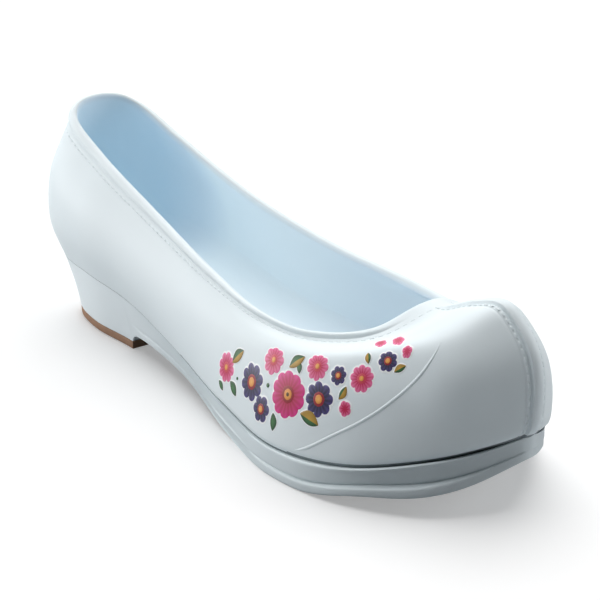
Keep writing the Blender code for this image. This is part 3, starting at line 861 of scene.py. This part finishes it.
def grooveBars():
    groove = sole["grooves"]
    bars = []
    for k in range(groove["count"]):
        x = groove["first"] + k * groove["pitch"]
        slope = float(underside(x + 1.0) - underside(x - 1.0)) / 2
        roll = float(toeRoll(x))
        ends = [float(sideAt(treadLine[side], x)) - side * groove["border"] for side in bothSides]
        height = float(underside(x)) + roll * sum(ends) / 2
        middle = (np.array([x, sum(ends) / 2, height]) - origin) * mm
        turn = (math.atan(roll), -math.atan(slope), 0)
        bpy.ops.mesh.primitive_cube_add(size=1.0, location=middle, rotation=turn)
        bar = bpy.context.active_object
        bar.scale = (groove["width"] * mm, (ends[1] - ends[0]) * mm, 2 * groove["depth"] * mm)
        bpy.ops.object.transform_apply()
        bars.append(bar)
    return joined("grooveBars", bars)


stations = evenStations(sole["stations"])
soleRings = [closedRing(lambda side, row=row: solePoints(row, side, stations)) for row in sole["edge"]]
soleWedge = shapedGrid("soleWedge", capped(soleRings, sole["capSteps"]))
cutWith(soleWedge, grooveBars())
finishPiece(soleWedge, [soleRubber], sharpAngle=35.0, replaced="sole")


# heel tap: tan walking piece, straight at the breast
tap = {
    # height, inset
    "rows": ((0.0, 0.55), (0.12, 0.3), (0.35, 0.13), (0.7, 0.06), (2.6, 0.0), (2.85, 0.06), (3.0, 0.2)),
    "middle": 22.0,  # how far behind the breast it draws in to
    "stations": 90,
    "breastSteps": 6,
    "capSteps": (0.03, 0.5, 1.0),
}


def tapRing(height, inset):
    x = treadX(evenStations(tap["stations"]))
    x = np.append(x[x < shoe["heelFront"]], shoe["heelFront"])
    middle = np.array([shoe["heelFront"] - tap["middle"], 0.0])

    def makeSide(side):
        plan = np.column_stack([x, sideAt(treadLine[side], x)])
        across = np.linspace(plan[-1, 1], 0.0, tap["breastSteps"] + 1)[1:]
        breast = np.column_stack([np.full(tap["breastSteps"], x[-1]), across])
        plan = np.concatenate([plan, breast])
        drawn = middle + (plan - middle) * (1 - inset / tap["middle"])
        return np.column_stack([drawn, np.full(len(drawn), height)])
    return closedRing(makeSide)


tapRings = [tapRing(*row) for row in tap["rows"]]
heelTap = shapedGrid("heelTap", capped(tapRings, tap["capSteps"]))
finishPiece(heelTap, [tanRubber], sharpAngle=40.0, replaced="heel_tap")


# insole: thin footbed that sweeps up into the lining along its edge
insole = {
    "foot": (2.8, 0.0),  # inset from the feather line and height of the lower edge
    "rise": 2.5,
    "cove": (0.16, 9.0),  # share of the wall that it climbs, and how far it reaches in
    "coveSteps": 12,
    "lap": 0.1,  # how far its top edge lies in the wall
    "bottomSteps": (1.0, 0.5),
    # share of the way to the middle line, height
    "dish": ((0.06, 2.5), (0.2, 2.55), (0.45, 2.5), (0.75, 2.45), (1.0, 2.42)),
    "stations": 150,
}


def shareAt(side, x):
    points, shares = feather[side]
    return np.interp(x, points[:, 0], shares)


def insolePoints(inset, rise, side, x):
    out = outward(side, shareAt(side, x))
    plan = np.column_stack([x, sideAt(feather[side], x)]) - inset * out
    return np.column_stack([plan, seatHeight(x) + rise])


def covePoints(t, side, x):
    # soft turn from the lining, past the corner, to the flat of the footbed
    u = shareAt(side, x)
    level, reach = insole["cove"]
    top = wallPoint(side, u, level) - (shoe["wall"] - insole["lap"]) * wallNormal(side, u, level)
    corner = insolePoints(shoe["wall"], insole["rise"], side, x)
    flat = insolePoints(reach, insole["rise"], side, x)
    return (1 - t) ** 2 * top + 2 * t * (1 - t) * corner + t ** 2 * flat


insoleStations = evenStations(insole["stations"])
insoleRings = [closedRing(lambda side: insolePoints(*insole["foot"], side, insoleStations))]
insoleRings += [closedRing(lambda side, t=t: covePoints(t, side, insoleStations))
                for t in np.linspace(0, 1, insole["coveSteps"])]
bottomRings = [towardsMiddle(insoleRings[0], share) for share in insole["bottomSteps"]]
topRings = []
for share, rise in insole["dish"]:
    ring = towardsMiddle(insoleRings[-1], share)
    ring[:, 2] += rise - insole["rise"]
    topRings.append(ring)
footbed = shapedGrid("footbed", np.array(bottomRings + insoleRings + topRings))
finishPiece(footbed, [footbedFoam], sharpAngle=50.0, replaced="insole")


# printed flowers on the outer side: thin ink films that follow the wall

def patchPlaces(tree):
    # turn round the patch, and reach from its middle to its edge
    uv = addNode(tree, "UVMap", uv_map="UVMap").outputs["UV"]
    split = addNode(tree, "SeparateXYZ", {"Vector": uv})
    return split.outputs["X"], split.outputs["Y"]


def maths(tree, operation, *values):
    return addNode(tree, "Math", dict(enumerate(values)), operation=operation).outputs[0]


def petalInk(name, look, streaks=2):
    # screen ink: deep at the middle, paler to the tip, darker between petals, finely streaked
    material, tree, shader = newMaterial(name)
    turn, reach = patchPlaces(tree)
    streak = maths(tree, "SINE", maths(tree, "MULTIPLY", turn, 2 * math.pi * streaks))
    lean = maths(tree, "MULTIPLY_ADD", streak, look["streak"], reach)
    tone = mixColours(tree, remap(tree, lean, look["fade"]), look["inner"], look["outer"])
    petal = maths(tree, "COSINE", maths(tree, "MULTIPLY", turn, 2 * math.pi))
    between = remap(tree, petal, (-0.72, -1.0), (0.0, look["between"]))
    parted = mixColours(tree, between, tone, look["inner"])
    setInputs(tree, shader, {"Base Color": parted, "Roughness": 0.38})
    return material


def flatInk(name, inner, outer):
    # screen ink with one tone at the middle and one at the edge
    material, tree, shader = newMaterial(name)
    tone = mixColours(tree, patchPlaces(tree)[1], inner, outer)
    setInputs(tree, shader, {"Base Color": tone, "Roughness": 0.4})
    return material


petalLooks = {
    "pink": {"inner": "#c40f4e", "outer": "#f280b2", "fade": (0.3, 1.0), "streak": 0.12, "between": 0.35},
    "magenta": {"inner": "#b3063f", "outer": "#df3190", "fade": (0.3, 0.95), "streak": 0.1, "between": 0.4},
    "violet": {"inner": "#221b3c", "outer": "#4a4180", "fade": (0.35, 0.95), "streak": 0.15, "between": 0.6},
}
# name of the ink's piece, tone at the middle, tone at the edge
flatLooks = {
    "white": ("printBorders", "#f8fafb", "#f8fafb"),
    "red": ("redRings", "#7d0f18", "#a3182a"),
    "rose": ("roseRings", "#c02c3c", "#d84a5c"),
    "yellow": ("flowerEyes", "#f2b75a", "#e07f33"),
    "umber": ("flowerPips", "#4a3110", "#6b4a18"),
    "leaf": ("printLeaves", "#3d7a3f", "#143f20"),
    "gold": ("goldLeaves", "#c9a03a", "#96731f"),
}
inks = {key: petalInk(key + "_screen_ink", look) for key, look in petalLooks.items()}
inks.update({key: flatInk(key + "_screen_ink", *look[1:]) for key, look in flatLooks.items()})

# ink, u, v, width mm, height mm, petals, lean in degrees
flowers = (
    ("pink", 0.578, 0.305, 10.4, 10.4, 8, 0), ("violet", 0.639, 0.325, 12.8, 12.8, 8, 0),
    ("pink", 0.6915, 0.515, 9.8, 9.8, 8, 0), ("violet", 0.656, 0.197, 9, 9, 6, 0),
    ("magenta", 0.7055, 0.337, 15.8, 15.8, 10, 0), ("pink", 0.762, 0.517, 9.2, 9.2, 9, 0),
    ("violet", 0.7515, 0.343, 11.7, 11.7, 8, 0), ("violet", 0.7865, 0.47, 6.3, 6.3, 7, 0),
    ("pink", 0.7845, 0.307, 4.8, 5.2, 5, 0), ("pink", 0.814, 0.448, 8.9, 8.9, 9, 0),
    ("violet", 0.852, 0.517, 6.9, 6.9, 7, 0), ("pink", 0.8725, 0.728, 4, 8.6, 5, 24),
    ("pink", 0.8895, 0.693, 4.2, 9, 5, 22), ("pink", 0.879, 0.55, 3.8, 4.6, 5, 0),
)
# u, v, length mm, turn in degrees, half in the second colour: 1 upper, -1 lower, 0 none
leaves = (
    (0.611, 0.432, 8, 46, -1), (0.732, 0.532, 7.6, 33, -1), (0.732, 0.5, 4.4, -71, 0),
    (0.678, 0.159, 6, -80, 0), (0.735, 0.233, 8.6, -18, 1), (0.785, 0.382, 5, -125, 1),
    (0.833, 0.552, 3.9, 96, 1), (0.861, 0.469, 4.6, 18, 1), (0.559, 0.142, 4.4, -30, 0),
    (0.592, 0.196, 6.4, -30, 0),
)
# small round dots between the flowers: u, v, diameter mm
dots = ((0.6715, 0.3517, 1.5), (0.604, 0.285, 1.1))
ink = {
    # dents between petals, then ring colour, ring share and eye share of the middle
    "notch": {"pink": 0.2, "magenta": 0.15, "violet": 0.26},
    "middle": {"pink": ("rose", 0.38, 0.2), "magenta": ("red", 0.38, 0.24), "violet": ("red", 0.42, 0.26)},
    "leastPetals": 6,  # blooms with fewer are closed buds
    "petalSteps": 14,
    "petalRound": 0.55,
    "turnStep": 0.4,  # how far each bloom is turned from the one before
    # lobes and dents, and the pip's share of its bloom
    "ring": (8, 0.06),
    "eye": (6, 0.05),
    "pip": (5, 0.05),
    "pipShare": 0.09,
    # a leaf's width and bow as shares of its length, and what else shapes it
    "leaf": {"width": 0.27, "bow": 0.06, "point": 0.8, "rib": 0.02, "steps": 25, "leastReach": 0.5},
    "border": 0.5,
    "borderNotch": 0.6,  # how much of the dents the border follows
    "leafBorder": 0.4,
    "film": 0.14,
    "layer": 0.07,
    "sink": 0.3,
    # rows of a film out to its edge and back beneath, and heights of those that show
    "shares": (0, 0.15, 0.3, 0.45, 0.6, 0.75, 0.88, 0.96, 1.0, 1.0, 0.5, 0.0),
    "crown": (0.05, 0.05, 0.045, 0.04, 0.035, 0.025, 0.01, -0.02, -0.07),
}


def onWall(u, v, across, up, lift):
    # places given in mm beside a spot of the lateral wall
    alongU, alongV = wallSlopes(lateral, np.array(u), np.array(v))
    unitU = unit(alongU)
    square = alongV - (alongV @ unitU) * unitU
    stepV = up / lengths(square)
    stepU = (across - stepV * (alongV @ unitU)) / lengths(alongU)
    spotU, spotV = u + stepU, v + stepV
    return wallPoint(lateral, spotU, spotV) + lift[..., None] * wallNormal(lateral, spotU, spotV)


def inkPatch(name, u, v, edge, lift, petals=1.0, turn=0.0):
    # closed film inside an outline given in mm: crown, edge and hidden underside
    shares, crown = np.array(ink["shares"]), np.array(ink["crown"])
    lifts = np.concatenate([lift + crown, np.full(len(shares) - len(crown), -ink["sink"])])
    across, up = shares[:, None] * edge[0], shares[:, None] * edge[1]
    patch = shapedGrid(name, onWall(u, v, across, up, np.broadcast_to(lifts[:, None], across.shape)))
    layer = patch.data.uv_layers.active
    spots = np.empty(len(layer.uv) * 2, np.float32)
    layer.uv.foreach_get("vector", spots)
    spots = spots.reshape(-1, 2)
    # whole numbers at the petals' middles, and 1 at the edge
    spots[:, 0] = petals * (spots[:, 0] - turn / (2 * math.pi))
    spots[:, 1] = np.clip(spots[:, 1] * (len(shares) - 1) / (len(crown) - 1), 0, 1)
    layer.uv.foreach_set("vector", spots.ravel())
    return patch


def turned(x, y, degrees):
    c, s = math.cos(math.radians(degrees)), math.sin(math.radians(degrees))
    return x * c - y * s, x * s + y * c


def petalEdge(width, height, petals, notch, border, turn, lean=0):
    angle = np.linspace(0, 2 * math.pi, petals * ink["petalSteps"] + 1)
    lobe = 1 - notch * (1 - np.abs(np.cos(petals * (angle - turn) / 2)) ** ink["petalRound"])
    across = (0.5 * width * lobe + border) * np.cos(angle)
    up = (0.5 * height * lobe + border) * np.sin(angle)
    return turned(across, up, lean)


def leafEdge(length, turn, border, half=0):
    # pointed leaf, or one half of it, round its own middle
    form = ink["leaf"]
    t = np.linspace(0, 1, form["steps"])
    swing = np.sin(math.pi * t)
    width = form["width"] * length * swing ** form["point"]
    bow, rib = form["bow"] * length * swing, form["rib"] * swing
    above = bow - rib if half < 0 else bow + width
    below = bow + rib if half > 0 else bow - width
    x = (t - 0.5) * length
    x = np.concatenate([x, x[-2::-1]])
    y = np.concatenate([above, below[-2::-1]])
    middle = y.mean()
    grow = 1 + border / np.maximum(np.hypot(x, y - middle), form["leastReach"])
    return turned(x * grow, middle + (y - middle) * grow, turn)


films = {key: [] for key in inks}
film, layer = ink["film"], ink["layer"]
for k, (colour, u, v, width, height, petals, lean) in enumerate(flowers):
    turn, notch = ink["turnStep"] * k, ink["notch"][colour]
    border = petalEdge(width, height, petals, ink["borderNotch"] * notch, ink["border"], turn, lean)
    films["white"].append(inkPatch("edge", u, v, border, film - layer))
    bloom = petalEdge(width, height, petals, notch, 0.0, turn, lean)
    films[colour].append(inkPatch("petals", u, v, bloom, film, petals, turn))
    if petals < ink["leastPetals"]:
        continue
    ringColour, ringShare, eyeShare = ink["middle"][colour]
    middles = [(ringColour, ringShare, ink["ring"]), ("yellow", eyeShare, ink["eye"])]
    if colour == "magenta":
        middles.append(("umber", ink["pipShare"], ink["pip"]))
    for level, (tone, share, (lobes, dent)) in enumerate(middles, 1):
        edge = petalEdge(share * width, share * height, lobes, dent, 0.0, turn)
        films[tone].append(inkPatch("middle", u, v, edge, film + level * layer))
for u, v, length, turn, half in leaves:
    border = leafEdge(length, turn, ink["leafBorder"])
    films["white"].append(inkPatch("leafBorder", u, v, border, film - layer))
    films["leaf"].append(inkPatch("leafBlade", u, v, leafEdge(length, turn, 0.0), film))
    if half:
        films["gold"].append(inkPatch("leafHalf", u, v, leafEdge(length, turn, 0.0, half), film + layer))
for u, v, width in dots:
    films["leaf"].append(inkPatch("dot", u, v, petalEdge(width, width, *ink["pip"], 0.0, 0.0), film))
for key, pieces in films.items():
    name = flatLooks[key][0] if key in flatLooks else key + "Petals"
    finishPiece(joined(name, pieces), [inks[key]], sharpAngle=60.0)


# studio: white floor, large panel overhead, weaker ones round it, and two softboxes by the heel
studio = {
    "floorSize": 8.0,
    "floorDrop": 0.02,  # mm below the tread
    "floorColour": "#e2e2e2",
    "bounce": "#c0c3c6",  # how the floor lights the shoe
    "fill": 0.32,  # light that the paper gives back inside shadows
    "worldColour": "#f2f6fa",
    "worldStrength": 0.04,
    "backdropStrength": 1.1,  # what the camera sees past the floor
    # name, where it shines from, strength, spread in degrees
    "panels": (
        ("overheadPanel", (-0.3, 0.2, 1.0), 2.5, 70.0),
        ("sidePanel", (-0.7, -0.7, 0.7), 0.9, 60.0),
        ("heelPanel", (-0.8, 0.5, 0.5), 0.7, 60.0),
        ("backPanel", (0.5, 0.85, 0.3), 0.95, 40.0),
    ),
    "flagged": ("sidePanel",),  # panels kept off the paper, as the softboxes are
    # name, place, aim, size m, power W
    "softboxes": (
        ("heelSoftbox", (-0.28, -0.28, 0.18), (-0.05, 0.0, 0.03), 0.25, 0.16),
        ("lowSoftbox", (-0.30, -0.25, 0.03), (-0.05, 0.0, 0.02), 0.2, 0.54),
    ),
}
deselect()
bpy.ops.mesh.primitive_plane_add(size=studio["floorSize"], location=(0, 0, -studio["floorDrop"] * mm))
floor = bpy.context.active_object
floor.name = floor.data.name = "paleFloor"
bpy.ops.object.transform_apply()
floorMaterial, tree, shader = newMaterial("matte_white_sweep_paper")
seen = addNode(tree, "LightPath").outputs["Is Camera Ray"]
paper = mixColours(tree, seen, studio["bounce"], studio["floorColour"])
fill = remap(tree, seen, target=(0.0, studio["fill"]))
setInputs(tree, shader, {"Base Color": paper, "Emission Strength": fill, "Roughness": 0.9,
                         "Specular IOR Level": 0.1})
floor.data.materials.append(floorMaterial)

world = bpy.data.worlds.new("studioWorld")
world.use_nodes = True
worldTree = world.node_tree
seen = addNode(worldTree, "LightPath").outputs["Is Camera Ray"]
glow = remap(worldTree, seen, target=(studio["worldStrength"], studio["backdropStrength"]))
setInputs(worldTree, worldTree.nodes["Background"],
          {"Color": linear(studio["worldColour"]), "Strength": glow})
bpy.context.scene.world = world


def addLamp(name, kind, place, aim, power):
    bpy.ops.object.light_add(type=kind, location=place)
    lamp = bpy.context.active_object
    lamp.name = name
    lamp.rotation_euler = facing(place, aim)
    lamp.data.energy = power
    lamp.visible_camera = False
    return lamp


# the near lights are flagged off the paper, so that the shade under the arch stays dark
litPieces = bpy.data.collections.new("litPieces")
for piece in bpy.context.scene.objects:
    if piece.type == "MESH" and piece != floor:
        litPieces.objects.link(piece)
for name, place, strength, spread in studio["panels"]:
    panel = addLamp(name, "SUN", place, (0, 0, 0), strength)
    panel.data.angle = math.radians(spread)
    if name in studio["flagged"]:
        panel.light_linking.receiver_collection = litPieces
for name, place, aim, size, power in studio["softboxes"]:
    softbox = addLamp(name, "AREA", place, aim, power)
    softbox.data.size = size
    softbox.light_linking.receiver_collection = litPieces
bpy.context.scene.view_settings.view_transform = "Standard"
bpy.context.scene.view_settings.look = "None"
deselect()
print("studio lit")
